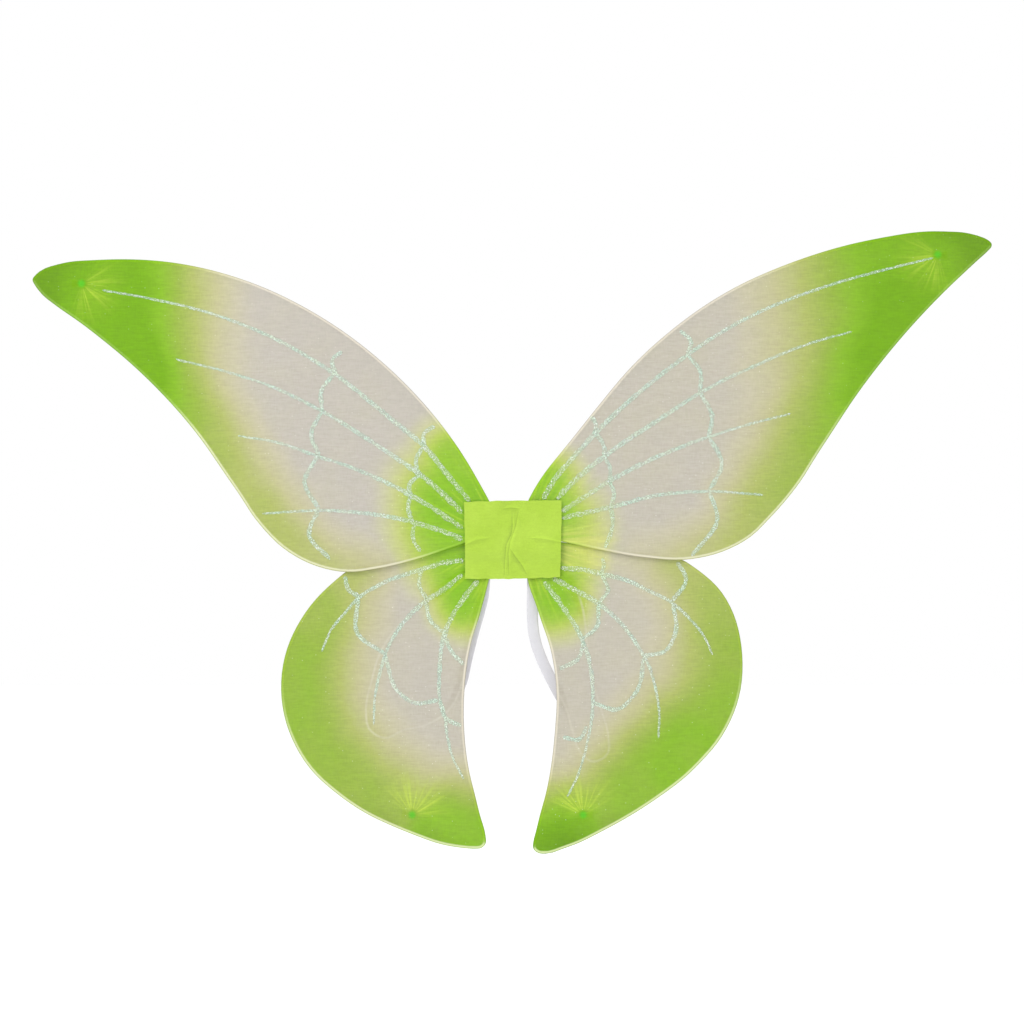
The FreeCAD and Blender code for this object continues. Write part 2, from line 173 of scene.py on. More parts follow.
SCALLOPS = {
    "upper_left": [
        [(70, 102), (80, 94), (79, 83)], [(81, 83), (87, 70), (84, 58)], [(85, 57), (93, 49), (92, 40)],
        [(92, 39), (94, 28), (90, 15)], [(88, 14), (90, 3), (83, -11)],
        [(153, 169), (162, 161), (159, 148)], [(161, 148), (172, 133), (171, 115)],
        [(172, 114), (181, 95), (174, 75)], [(176, 74), (187, 52), (174, 27)], [(175, 26), (183, 5), (164, -18)],
    ],
    "upper_right": [
        [(70, 111), (75, 103), (73, 94)], [(75, 95), (82, 84), (82, 74)], [(83, 74), (88, 62), (87, 53)],
        [(87, 52), (91, 41), (88, 29)], [(88, 28), (90, 16), (83, -8)],
        [(150, 188), (160, 178), (157, 166)], [(158, 165), (169, 150), (168, 132)],
        [(169, 131), (179, 111), (176, 92)], [(177, 91), (188, 68), (176, 43)], [(177, 42), (184, 20), (161, -15)],
    ],
    "lower_left": [
        [(82, -26), (84, -42), (77, -54)], [(78, -56), (74, -73), (62, -84)], [(62, -85), (55, -101), (44, -113)],
        [(151, -33), (148, -45), (138, -52)], [(139, -53), (140, -84), (115, -103)],
        [(115, -104), (103, -137), (89, -147), (67, -145)], [(66, -145), (60, -161), (46, -168)],
    ],
    "lower_right": [
        [(81, -16), (82, -24), (79, -31)], [(80, -32), (86, -45), (77, -58)], [(77, -59), (76, -78), (63, -90)],
        [(64, -91), (60, -106), (42, -117)], [(148, -20), (156, -36), (143, -56)],
        [(144, -57), (147, -81), (138, -100), (117, -105)], [(118, -106), (112, -136), (94, -153), (72, -147)],
        [(67, -168), (60, -180), (45, -178)],
    ],
}

# The straps' routes in mm, (x, y, z), from one end in the hub to the other.
STRAP_ROUTES = {
    "left": [
        (-25, -1.6, -22), (-25, -1.6, -46), (-30, 1.6, -66), (-36.5, 3.8, -88), (-42, 4.8, -111), (-46.5, 5.2, -133),
        (-58, 5.4, -154), (-78, 5.6, -167), (-99, 5.5, -172), (-115, 5.3, -179), (-129, 5.2, -171),
        (-132, 5.1, -153), (-127, 4.9, -128), (-120, 4.7, -104), (-108, 4.2, -84), (-93, 3.2, -68), (-76, 1.2, -54),
        (-57, -1.6, -40), (-36, -1.6, -27),
    ],
    "right": [
        (18, -1.6, -22), (18, -1.6, -46), (17.5, 1.8, -66), (19, 4.2, -88), (26, 5, -109), (37, 5.5, -131),
        (48, 5.5, -152), (54, 5.4, -173), (60, 5.3, -190), (72, 5.2, -200), (85, 5.1, -194), (86, 5, -177),
        (79, 5, -151), (71, 4.8, -124), (67, 4.6, -99), (65.5, 3.4, -78), (62, 0.8, -58), (53, -1.6, -38),
        (34, -1.6, -20),
    ],
}
# Where each strap starts and ends its two quarter twists, in mm along it.
STRAP_TWISTS = {"left": (100, 150, 318, 366), "right": (112, 156, 308, 354)}
STRAP_STOPS = 230
# One half of the band's rounded section; the other half is its opposite.
STRAP_SECTION = [(-1, 0), (-0.97, 0.7), (-0.85, 0.95), (-0.5, 1), (0, 0.96), (0.5, 1), (0.85, 0.95), (0.97, 0.7)]

# The felt patches: corners clockwise from top left, the outward bow of each side between them, and their creases.
PATCH_CORNERS = [(-43.8, 33.6), (43.9, 34.9), (42.6, -33.9), (-42.9, -35.4)]
PATCH_BOWS = [0.6, 0.3, 0.8, -0.4]
CREASES = [
    [(-0.2, 24), (-0.4, 12), (-1.3, 4.8), (-5.9, -4.4), (-7.2, -18), (-7.1, -32)],
    [(5.2, 24), (2.1, 10.5), (-2.5, -2.1), (-4.2, -12.4), (-3.1, -30.8)],
    [(-1.6, -9), (2.2, -15.5), (7.8, -22.8), (12.5, -30.8)],
    [(-8.2, 27.6), (-1, 28.2), (5.8, 27.6)],
]
WIRE_RIDGES = [[(-42.5, -5), (-33, -0.6), (-22, 1)], [(18, 1), (26, 0.4), (42.4, -2.4)]]
FELT_GRID = (56, 38)

# The distance kept at points that are nowhere near a crease or a strap.
FAR_AWAY = 99.0

# Colours are given as seen in the stage's light, and divided by how bright it makes the net. Felt and elastic stand
# in more light than the net, so their colours are given darker than they are seen.
LIGHT_LEVEL = 1.3
# The share of two gathered or knotted layers that is thread.
DENSE = 0.9

# The stage: the camera looks at (x, z) in metres, and the floor reaches out in mm.
LOOK_AT = (-0.0006, 0.0246)
MIDDLE_DEPTH = 0.004
SENSOR_WIDTH = 36
FLOOR_REACH = 7000
FLOOR_LEVEL = 1.06
# Each lamp's name, place, size and power.
LAMPS = [
    ("key_light", (-1.3, -1.3, 1.6), 1.0, 34), ("fill_light", (1.6, -1.4, 0.4), 1.4, 6),
    ("back_light", (0.6, 1.6, 1.5), 1.2, 24),
]

# What the panel's colours, lengths and shares have in common.
COLOUR = {"size": 3, "subtype": "COLOR", "min": 0, "max": 1}
LENGTH = {"subtype": "DISTANCE", "unit": "LENGTH"}
SHARE = {"subtype": "FACTOR", "min": 0, "max": 1}


def colour(red, green, blue):
    """Linear colour of a display colour whose parts go from 0 to 255."""
    parts = [part / 255 for part in (red, green, blue)]
    return tuple(p / 12.92 if p <= 0.04045 else ((p + 0.055) / 1.055) ** 2.4 for p in parts)


def own(seen):
    """The colour of an opaque surface that is seen as the given colour in the stage's light."""
    return tuple(part / LIGHT_LEVEL for part in seen)


def arithmetic(operation):
    return lambda value, other: value.math(operation, other)


class Value:
    """A number in a finish: one socket of its nodes. Arithmetic on it adds the Math nodes that work it out."""

    def __init__(self, finish, socket):
        self.finish = finish
        self.socket = socket

    def math(self, operation, *others, clamp=False):
        return self.finish.node("ShaderNodeMath", {"operation": operation, "use_clamp": clamp},
                                dict(enumerate((self, *others))))

    __add__ = __radd__ = arithmetic("ADD")
    __sub__ = arithmetic("SUBTRACT")
    __mul__ = __rmul__ = arithmetic("MULTIPLY")
    __truediv__ = arithmetic("DIVIDE")
    __pow__ = arithmetic("POWER")

    def __rsub__(self, other):
        return (self * -1) + other

    def clamped(self):
        return self.math("ADD", 0, clamp=True)

    def step(self, low, high):
        """0 below low, 1 above high, and smooth between them."""
        return self.finish.node("ShaderNodeMapRange", {"interpolation_type": "SMOOTHSTEP"},
                                {"Value": self, "From Min": low, "From Max": high})


class Finish:
    """One material and its nodes."""

    def __init__(self, name, **constants):
        self.material = bpy.data.materials.new(name)
        self.material.use_nodes = True
        self.tree = self.material.node_tree
        self.shader = self.tree.nodes["Principled BSDF"]
        for socket, value in constants.items():
            self.shader.inputs[socket.replace("_", " ")].default_value = value

    def node(self, kind, settings=None, inputs=None, output=0):
        """An output of a new node, which gets its settings or a ramp's stops, then its sockets' values or links."""
        node = self.tree.nodes.new(kind)
        for key, setting in (settings or {}).items():
            if key == "stops":
                ramp = node.color_ramp.elements
                for place, tone in setting[1:-1]:
                    ramp.new(place).color = (*tone, 1)
                ramp[0].color, ramp[-1].color = (*setting[0][1], 1), (*setting[-1][1], 1)
            else:
                setattr(node, key, setting)
        for key, value in (inputs or {}).items():
            if isinstance(value, Value):
                self.tree.links.new(value.socket, node.inputs[key])
            elif isinstance(value, tuple) and len(value) == 3 and node.inputs[key].type == "RGBA":
                node.inputs[key].default_value = (*value, 1)
            else:
                node.inputs[key].default_value = value
        return Value(self, node.outputs[output])

    def set(self, **links):
        for socket, value in links.items():
            self.tree.links.new(value.socket, self.shader.inputs[socket.replace("_", " ")])
        return self.material

    def places(self, stretch=(1, 1, 1)):
        """Places on the piece in millimetres, stretched along each axis."""
        return self.node("ShaderNodeVectorMath", {"operation": "MULTIPLY"},
                         {0: self.node("ShaderNodeTexCoord", output="Object"), 1: tuple(s / MM for s in stretch)})

    def part(self, vector, axis):
        return self.node("ShaderNodeSeparateXYZ", None, {0: vector}, axis)

    def measure(self, name):
        """A number that the mesh keeps at each of its points."""
        return self.node("ShaderNodeAttribute", {"attribute_name": name}, output="Fac")

    def cloudy(self, vector, pitch, detail=2.0, roughness=0.5):
        """Soft noise from 0 to 1 with features about a pitch apart, in the units of the vector."""
        return self.node("ShaderNodeTexNoise", None, {
            "Vector": vector, "Scale": 1 / pitch, "Detail": detail, "Roughness": roughness}, "Fac")

    def flakes(self, vector, pitch):
        """Cells about a pitch across: the distance to a cell's middle, and two random numbers of the cell."""
        distance = self.node("ShaderNodeTexVoronoi", None, {"Vector": vector, "Scale": 1 / pitch}, "Distance")
        shade = Value(self, distance.socket.node.outputs["Color"])
        return distance, self.part(shade, 0), self.part(shade, 1)

    def mix(self, share, first, second):
        """A colour that goes from the first to the second."""
        return self.node("ShaderNodeMix", {"data_type": "RGBA"}, {0: share, 6: first, 7: second}, 2)

    def shade(self, tone, level):
        """A colour made lighter or darker by a number round 1."""
        return self.node("ShaderNodeVectorMath", {"operation": "SCALE"}, {0: tone, "Scale": level})

    def bump(self, height, depth, strength=1.0):
        """The normal of a surface whose height of 0 to 1 stands for a depth in millimetres."""
        return self.node("ShaderNodeBump", None, {"Strength": strength, "Distance": depth * MM, "Height": height})


def cover(dye, net):
    """The share of one layer that is thread: the dyed net is denser."""
    return net.opacity + dye * (net.dyed_opacity - net.opacity)


def unlayered(seen, opacity):
    """The colour of a net's threads that, in two layers over white, looks like the colour seen."""
    through = (1 - opacity) ** 2
    return tuple(max(0.0, (part - through) / (1 - through)) / LIGHT_LEVEL for part in seen)


def rays(finish, places, centre, count, pitch):
    """Streaks that run out from a centre, in (x, z), with the offsets and the distance from it in millimetres."""
    x = finish.part(places, 0) - centre[0]
    z = finish.part(places, 2) - centre[1]
    distance = (x * x + z * z) ** 0.5
    turn = x.math("ARCTAN2", z)
    spread = finish.node("ShaderNodeCombineXYZ", None, {0: turn * count, 1: distance / pitch})
    return finish.cloudy(spread, 1.0, 2.0), x, z, distance


def net_finish(name, net):
    """Dyed stocking net: pale in the middle of the wing, green at the tip and the root, gathered at the knot."""
    level, side_name = name.split("_")
    side, knot = SIDES[side_name], KNOTS[name]
    finish = Finish("net_" + name, Roughness=0.6, Specular_IOR_Level=0.08, Sheen_Weight=0.04)
    places = finish.places()
    cloud = finish.cloudy(places, 30, 3.0)
    tip = (finish.measure("tip_dye") + (cloud - 0.5) * 0.12).clamped()
    root = (finish.measure("root_dye") + (cloud - 0.5) * 0.12).clamped()
    rim = finish.measure("rim")
    hub_far = finish.measure("hub_far")

    shades = []
    for stops, dye in ((TIP_SHADES, tip), (ROOT_SHADES, root)):
        stops = [(place, unlayered(colour(*shade), cover(place, net))) for place, shade in stops]
        shades.append(finish.node("ShaderNodeValToRGB", {"stops": stops}, {0: dye}))
    dye = tip.math("MAXIMUM", root)
    tone = finish.mix((root - tip).step(-0.12, 0.12), shades[0], shades[1])

    # Gathers, where the net bunches denser: painted highlight on the crests and painted shade in the valleys that run
    # out from the hub, and painted highlight on the rays that run from the knot towards it.
    folds, _, _, far = rays(finish, places, (side * MOUTH_CENTRE, 0), 13, 70)
    near_root = 1 - far.step(34, 104)
    shaded_valleys = (1 - folds.step(0.3, 0.48)) * near_root
    lit_crests = folds.step(0.5, 0.68) * near_root
    knot_folds, x, z, knot_far = rays(finish, places, (side * knot[0], knot[1]), 8, 60)
    reach = math.hypot(*knot)
    towards_hub = (x * (-side * knot[0] / reach) + z * (-knot[1] / reach)) / (knot_far + 0.5)
    near_knot = (1 - knot_far.step(6, 46)) * knot_far.step(2.5, 7) * towards_hub.step(-0.1, 0.85)
    lit_knot_crests = (knot_folds.step(0.44, 0.66) * 0.7 + 0.25) * near_knot * (0.55 if level == "upper" else 0.85)
    tone = finish.mix((lit_crests * 0.3 + lit_knot_crests).clamped(), tone, unlayered(net.pleat_colour, DENSE))
    tone = finish.mix(shaded_valleys * 0.3, tone, unlayered(colour(126, 192, 34), DENSE))
    at_knot = (1 - (knot_far + knot_folds * 5).step(3.5, 7.5)) * 0.75
    tone = finish.mix(at_knot, tone, unlayered(net.knot_colour, DENSE))
    if side > 0:
        # Weaker, yellower dye where the two right nets meet beside the patch.
        out, up = finish.part(places, 0), finish.part(places, 2)
        gold = out.step(38, 50) * (1 - out.step(70, 104)) * (1 - (up + 9).math("ABSOLUTE").step(6, 30))
        tone = finish.mix(gold * (folds.step(0.3, 0.7) * 0.35 + 0.35), tone, unlayered(net.gold_colour, DENSE))
    toe = (-1 * towards_hub).step(-0.1, 0.8) * knot_far.step(5, 30) * (1 - knot_far.step(55, 90))
    tone = finish.shade(tone, 1 - toe * 0.2)

    # Painted light: a pale line on the front layer where a strap lies against the rear layer, standing in for the
    # white strap showing through and the light it throws back.
    painted_strap_line = 1 - finish.measure("strap_side").math("ABSOLUTE").step(0.2, 1.7)
    tone = finish.mix(painted_strap_line * hub_far.step(66, 90) * (cloud.step(0.3, 0.6) * 0.2 + 0.2), tone,
                      own(colour(228, 224, 204)))

    # The knit: lines across and along, with a faint shift of tint between threads.
    rows = finish.cloudy(finish.places((0.16, 1, 1)), 1.3, 2.0)
    wales = finish.cloudy(finish.places((1, 1, 0.2)), 1.2, 2.0)
    tint = finish.cloudy(places, 2.4, 2.0)
    tone = finish.shade(tone, 0.81 + rows * 0.24 + wales * 0.1)
    tone = finish.mix((tint - 0.4) * (1 - dye) * 0.2, tone, own(colour(232, 196, 214)))
    spot, chance, size = finish.flakes(places, 3.0)
    dust = chance.step(0.85, 0.86) * (1 - spot.step(0.1, 0.17)) * size
    tone = finish.mix(dust * 0.7, tone, own((1.0, 1.0, 1.0)))

    # The turn over the wire: a thin darker edge, and inside it a pale line that is partly the net turned over the
    # wire and partly painted highlight, weighted towards edges that face down and faint near the hub.
    away = hub_far.step(55, 120)
    tone = finish.shade(tone, 1 - (1 - rim.step(0.2, 1.0)) * 0.2)
    light = (finish.measure("rim_light") + (1 - dye * 1.8).clamped() * 0.8).clamped()
    hem_and_highlight = rim.step(0.3, 0.9) * (1 - rim.step(1.8, 3.0)) * light
    hem_and_highlight_tone = finish.mix(dye, own(colour(224, 216, 200)), unlayered(net.rim_colour, 0.95))
    if level == "upper":
        hem_and_highlight = hem_and_highlight * (1 - tip.step(0.7, 0.95) * 0.85)
    tone = finish.mix(hem_and_highlight * (away * 0.75 + 0.05), tone, hem_and_highlight_tone)

    alpha = dye * (net.dyed_opacity - net.opacity) + net.opacity + (1 - rim.step(1.0, 2.8)) * 0.4
    alpha = (alpha + (rows + wales - 1) * 0.1 + lit_crests * 0.05 + dust).clamped()
    knit = finish.cloudy(places, 0.6, 1.0)
    return finish.set(Base_Color=tone, Alpha=alpha, Normal=finish.bump(knit + folds * near_root * 3, 0.12, 0.5))


def glitter_finish(glue):
    """Dried clear glue full of white, mint and a few lilac flakes, thinner towards a stroke's edges."""
    finish = Finish("glitter_glue", Specular_IOR_Level=0.6, Coat_Weight=0.3, Coat_Roughness=0.15)
    places = finish.places()
    beside = finish.measure("beside")
    small, small_chance, small_turn = finish.flakes(places, 0.95)
    large, large_chance, large_turn = finish.flakes(finish.places((1.0, 0.9, 1.1)), 1.6)
    small_flake = (1 - small.step(0.34, 0.5)) * small_chance.step(0.26, 0.36)
    large_flake = (1 - large.step(0.24, 0.4)) * large_chance.step(0.52, 0.62)
    cloud = finish.cloudy(places, 9, 2.0)
    out, up = finish.part(places, 0), finish.part(places, 2)
    near_hub = 1 - ((out * out + up * up) ** 0.5).step(76, 112)
    tone = finish.mix(cloud.step(0.35, 0.65), own(glue.glue_colour), own(glue.second_colour))
    tone = finish.mix(near_hub * 0.75, tone, own(glue.root_colour))
    tone = finish.mix(small_flake * (small_turn * 0.7 + 0.3), tone, own(colour(238, 250, 228)))
    tone = finish.mix(small_flake * small_turn.step(0.86, 0.9) * 0.6, tone, own(colour(212, 210, 240)))
    tone = finish.mix(large_flake * large_turn.step(0.2, 0.6), tone, own((1.0, 1.0, 1.0)))
    flake = small_flake.math("MAXIMUM", large_flake)
    thin = beside.step(0.55, 1.0)
    alpha = (flake * (0.88 - thin * 0.6) + 0.32 - near_hub * 0.1 - thin * 0.22).clamped()
    return finish.set(Base_Color=tone, Alpha=alpha, Roughness=0.5 - flake * small_turn * 0.3,
                      Normal=finish.bump(flake * (small_turn + 0.3), 0.12))


def knot_finish(net):
    """The same net bunched tight, so that it is darker and opaque."""
    finish = Finish("knotted_net", Roughness=0.6, Sheen_Weight=0.3)
    places = finish.places()
    strand = finish.cloudy(finish.places((0.25, 1, 1)), 0.7, 2.0)
    tone = finish.shade(finish.mix(finish.cloudy(places, 3), own(net.knot_colour), own(colour(60, 160, 50))),
                        0.7 + strand * 0.6)
    return finish.set(Base_Color=tone, Normal=finish.bump(strand, 0.3))


def felt_finish(felt):
    """Pressed felt: short fibres every way, a little fluff, slightly uneven dye, and painted shade along its creases
    and wire ridges.
    """
    finish = Finish("lime_felt", Roughness=0.95, Specular_IOR_Level=0.1, Sheen_Weight=0.35, Sheen_Roughness=0.6)
    places = finish.places()
    upright, lying = [finish.cloudy(finish.places(way), 0.45, 3.0) for way in ((1, 1, 0.22), (0.22, 1, 1))]
    fibres = upright + lying
    slubs = finish.cloudy(finish.places((0.2, 1, 1)), 1.5, 3.0)
    cloud = finish.cloudy(places, 22, 2.0)
    speck = finish.cloudy(places, 1.4, 2.0)
    tone = finish.mix(cloud.step(0.3, 0.7), own(felt.felt_colour), own(felt.worn_colour))
    level = 0.69 + fibres * 0.14 + speck * 0.12 + slubs * 0.18
    # Painted shade: a dark line along each crease and wire ridge, and one side of each lighter and the other darker,
    # as light would fall on them.
    for number in range(len(CREASES) + len(WIRE_RIDGES)):
        away = finish.measure("crease_" + str(number))
        near = away.math("ABSOLUTE")
        sharp, slope = (0.2, 0.22) if number < len(CREASES) else (0.08, 0.2)
        level = level - (1 - near.step(0.1, 0.85)) * sharp
        level = level + (1 - near.step(0.6, 4.5)) * (away.step(-1.2, 1.2) - 0.5) * slope
    tone = finish.shade(tone, level)
    return finish.set(Base_Color=tone, Normal=finish.bump(fibres + speck + slubs, 0.22, 0.7))


def elastic_finish(strap):
    """Woven white elastic: ribs along the band, fine picks across them, and a faint painted glow."""
    # Painted light: a faint white glow, so that the elastic stays pale where the nets shade it.
    finish = Finish("white_elastic", Roughness=0.7, Specular_IOR_Level=0.3, Sheen_Weight=0.2,
                    Emission_Color=(1, 1, 1, 1), Emission_Strength=0.06)
    across = finish.measure("across")
    along = finish.measure("along")
    rib = (across * (2 * math.pi / 0.95)).math("SINE") * 0.5 + 0.5
    pick = ((along + rib * 0.3) * (2 * math.pi / 0.8)).math("SINE") * 0.5 + 0.5
    cloud = finish.cloudy(finish.places(), 6, 2.0)
    tone = finish.mix(rib * 0.5 + cloud * 0.4, own(strap.strap_colour), own(colour(232, 231, 237)))
    tone = finish.shade(tone, 0.88 + pick * 0.12)
    return finish.set(Base_Color=tone, Normal=finish.bump(rib * 0.7 + pick * 0.3, 0.25, 0.8))


def wire_finish():
    """Drawn steel wire: fine lines along it and faint darker patches."""
    finish = Finish("steel_wire", Metallic=0.9)
    places = finish.places()
    drawn = finish.cloudy(finish.places((0.1, 1, 0.1)), 0.25, 2.0)
    cloud = finish.cloudy(places, 18, 3.0)
    tone = finish.shade(finish.mix(cloud, colour(150, 152, 150), colour(186, 188, 184)), 0.9 + drawn * 0.2)
    return finish.set(Base_Color=tone, Roughness=0.3 + cloud * 0.2, Normal=finish.bump(drawn, 0.03))


def tape_finish():
    """Matt cloth tape with a plain weave."""
    finish = Finish("cloth_tape", Roughness=0.8)
    places = finish.places()
    warp = (finish.part(places, 0) * (2 * math.pi / 0.5)).math("SINE")
    weft = (finish.part(places, 2) * (2 * math.pi / 0.5)).math("SINE")
    cloud = finish.cloudy(places, 5, 3.0)
    tone = finish.shade(finish.mix(cloud, colour(222, 224, 214), colour(205, 210, 196)), 0.95 + warp * weft * 0.05)
    return finish.set(Base_Color=tone, Normal=finish.bump(warp * weft * 0.5 + 0.5, 0.1))


def glue_finish():
    """Hot glue: waxy, cloudy and a little yellow."""
    finish = Finish("hot_glue", Roughness=0.25, Coat_Weight=0.2)
    places = finish.places()
    cloud = finish.cloudy(places, 4, 3.0)
    tone = finish.mix(cloud, colour(236, 232, 208), colour(246, 244, 232))
    return finish.set(Base_Color=tone, Normal=finish.bump(cloud, 0.4))


def floor_finish(stage):
    """Matt pale paper with hardly any clouds in it."""
    finish = Finish("pale_floor", Roughness=0.9, Specular_IOR_Level=0.1)
    cloud = finish.cloudy(finish.places(), 400, 3.0)
    tone = finish.mix(cloud, tuple(stage.floor_colour), (1.0, 1.0, 0.995))
    return finish.set(Base_Color=finish.shade(tone, FLOOR_LEVEL))


def piece(name, points, faces, material, measures=None, sharp=None):
    """A mesh object from points in millimetres, with outward faces and the numbers kept at its points."""
    mesh = bpy.data.meshes.new(name)
    mesh.from_pydata((np.asarray(points) * MM).tolist(), [], faces)
    for key, values in (measures or {}).items():
        mesh.attributes.new(key, "FLOAT", "POINT").data.foreach_set("value", np.asarray(values, np.float32))
    work = bmesh.new()
    work.from_mesh(mesh)
    bmesh.ops.recalc_face_normals(work, faces=work.faces)
    for face in work.faces:
        face.smooth = True
    if sharp:
        for edge in work.edges:
            if edge.is_manifold and edge.calc_face_angle() > math.radians(sharp):
                edge.smooth = False
    work.to_mesh(mesh)
    work.free()
    mesh.materials.append(material)
    made = bpy.data.objects.new(name, mesh)
    bpy.context.scene.collection.objects.link(made)
    return made


def grid_faces(rows, columns, first=0, closed=False):
    """Quads of a grid whose points are numbered row by row; a closed one joins its last column to its first."""
    faces = []
    for row in range(rows - 1):
        for column in range(columns if closed else columns - 1):
            after = (column + 1) % columns
            here, above = first + row * columns, first + (row + 1) * columns
            faces.append((here + column, here + after, above + after, above + column))
    return faces


def capped_tube(rows, columns, first=0):
    """Faces of a closed grid with a cap on each end."""
    last = first + (rows - 1) * columns
    return grid_faces(rows, columns, first, closed=True) + [
        tuple(range(first, first + columns)), tuple(range(last + columns - 1, last - 1, -1))]


def lengths(points):
    """How far along a line of points each of them is."""
    steps = np.linalg.norm(np.diff(points, axis=0), axis=1)
    return np.concatenate([[0], np.cumsum(steps)])


def headings(points):
    """The direction of a line at each of its points."""
    heading = np.gradient(points, axis=0)
    return heading / np.linalg.norm(heading, axis=1)[:, None]


def along(points, places):
    """Places at distances along the smooth line through the points."""
    points = np.asarray(points, float)
    stops = lengths(points)
    slopes = np.gradient(points, stops, axis=0)
    i = np.clip(np.searchsorted(stops, places, side="right") - 1, 0, len(stops) - 2)
    step = (stops[i + 1] - stops[i])[:, None]
    t = (places - stops[i])[:, None] / step
    return ((2 * t**3 - 3 * t**2 + 1) * points[i] + (t**3 - 2 * t**2 + t) * step * slopes[i]
            + (3 * t**2 - 2 * t**3) * points[i + 1] + (t**3 - t**2) * step * slopes[i + 1])


def smooth_step(amount):
    amount = np.clip(amount, 0, 1)
    return amount * amount * (3 - 2 * amount)


def from_line(points, line):
    """Distance of each (x, z) point from a line of points, and the share of the line where it is nearest."""
    points, line = np.asarray(points, float), np.asarray(line, float)
    best = np.full(len(points), 1e9)
    share = np.zeros(len(points))
    for i, (a, b) in enumerate(zip(line, line[1:])):
        t = np.clip((points - a) @ (b - a) / ((b - a) @ (b - a)), 0, 1)
        distance = np.linalg.norm(points - a - t[:, None] * (b - a), axis=1)
        nearer = distance < best
        best[nearer], share[nearer] = distance[nearer], (i + t[nearer]) / (len(line) - 1)
    return best, share


def signed(points, line):
    """Distance from each (x, z) point to a line, with a plus on the line's left, and more of it towards its ends."""
    away, share = from_line(points, line)
    line = np.array(line, float)
    at = np.clip((share * (len(line) - 1)).astype(int), 0, len(line) - 2)
    step, offset = line[at + 1] - line[at], points - line[at]
    left = np.sign(step[:, 0] * offset[:, 1] - step[:, 1] * offset[:, 0])
    return away * left / np.clip(np.minimum(share, 1 - share) * 5, 0.35, 1)


def strap_side(points, side_name):
    """Distance from each (x, z) point to that side's strap, with a minus inside its loop."""
    route = np.array(STRAP_ROUTES[side_name], float)[:, [0, 2]]
    route = along(route, np.linspace(0, lengths(route)[-1], 120))
    inside = np.zeros(len(points), bool)
    for a, b in zip(route, np.roll(route, -1, 0)):
        if a[1] != b[1]:
            crossing = a[0] + (points[:, 1] - a[1]) * (b[0] - a[0]) / (b[1] - a[1])
            inside ^= ((a[1] > points[:, 1]) != (b[1] > points[:, 1])) & (points[:, 0] < crossing)
    return from_line(points, route)[0] * np.where(inside, -1, 1)


def dyed(points, brushes, side):
    """How much dye each (x, z) point has, from 0 to 1. Where brushes overlap, their dyes add up softly."""
    amount = np.zeros(len(points))
    for brush in brushes:
        most = np.zeros(len(points))
        for a, b in zip(brush, brush[1:]):
            a, b = np.array(a, float), np.array(b, float)
            a[0], b[0] = side * a[0], side * b[0]
            line = (b - a)[:2]
            t = np.clip((points - a[:2]) @ line / (line @ line), 0, 1)
            distance = np.linalg.norm(points - a[:2] - t[:, None] * line, axis=1)
            full, faint, strength = (a[2:] + t[:, None] * (b - a)[2:]).T
            most = np.maximum(most, strength * smooth_step((faint - distance) / (faint - full)))
        amount += most ** 3
    return np.cbrt(amount)


def cover_edge(node, side):
    """The edge of a flat cover's front face outside the hub, in (x, z), from the corner that is higher up."""
    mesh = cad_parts[node].data
    names, count = {}, {}
    number = [names.setdefault(tuple(round(c * 1e6) for c in v.co), len(names)) for v in mesh.vertices]
    places = np.array(list(names)) / 1000
    front = places[:, 1].min() + 0.001
    for face in mesh.polygons:
        corners = [number[v] for v in face.vertices]
        if all(places[c][1] < front for c in corners):
            for pair in zip(corners, corners[1:] + corners[:1]):
                key = frozenset(pair)
                count[key] = count.get(key, 0) + 1
    beside = {}
    for key in (k for k, n in count.items() if n == 1):
        a, b = key
        beside.setdefault(a, []).append(b)
        beside.setdefault(b, []).append(a)
    mouth = {n for n in beside if math.dist(places[n][[0, 2]], (side * MOUTH_CENTRE, 0)) < MOUTH_RADIUS + 0.2}
    start = next(n for n in mouth if any(m not in mouth for m in beside[n]))
    chain = [start, next(m for m in beside[start] if m not in mouth)]
    while chain[-1] not in mouth:
        chain.append(next(m for m in beside[chain[-1]] if m != chain[-2]))
    edge = places[chain][:, [0, 2]]
    return edge if edge[0][1] > edge[-1][1] else edge[::-1]


def on_wing(made, name, node):
    """Ride a sleeve's piece on its own side of the wings, in the place of that node of the model."""
    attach(made, name.split("_")[1] + "_wings")
    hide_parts(name + node)


def sleeve_edges(name):
    """A sleeve's side, its whole edge as a fine smooth line, and how far along it the tip is."""
    side = SIDES[name.split("_")[1]]
    edge = cover_edge(name + "_net_cover", side)
    fine = along(edge, np.linspace(0, lengths(edge)[-1], EDGE_STOPS))
    tip = lengths(fine)[np.argmin(np.linalg.norm(fine - (side * TIPS[name][0], TIPS[name][1]), axis=1))]
    return side, fine, tip


def stand_off(distance):
    """How far the net is from the middle of its sleeve, by the distance from the sleeve's edge."""
    over = 1 - np.clip(distance / NET_OVER_WIRE, 0, 1)
    return NET_OVER_WIRE * np.sqrt(1 - over * over) - NET_SAG * smooth_step((distance - 2) / 30)


def root_folds(points, side, seed):
    """Height of the gathers that run out from the hub, at (x, z) points."""
    x, z = points[:, 0] - side * MOUTH_CENTRE, points[:, 1]
    far = np.hypot(x, z)
    turn = np.arctan2(z, side * x)
    wave = np.cos(turn * 44 + 1.5 * np.sin(turn * 9 + seed)) + 0.5 * np.cos(turn * 71 + seed)
    return 0.22 * wave * (1 - smooth_step((far - 26) / 50))


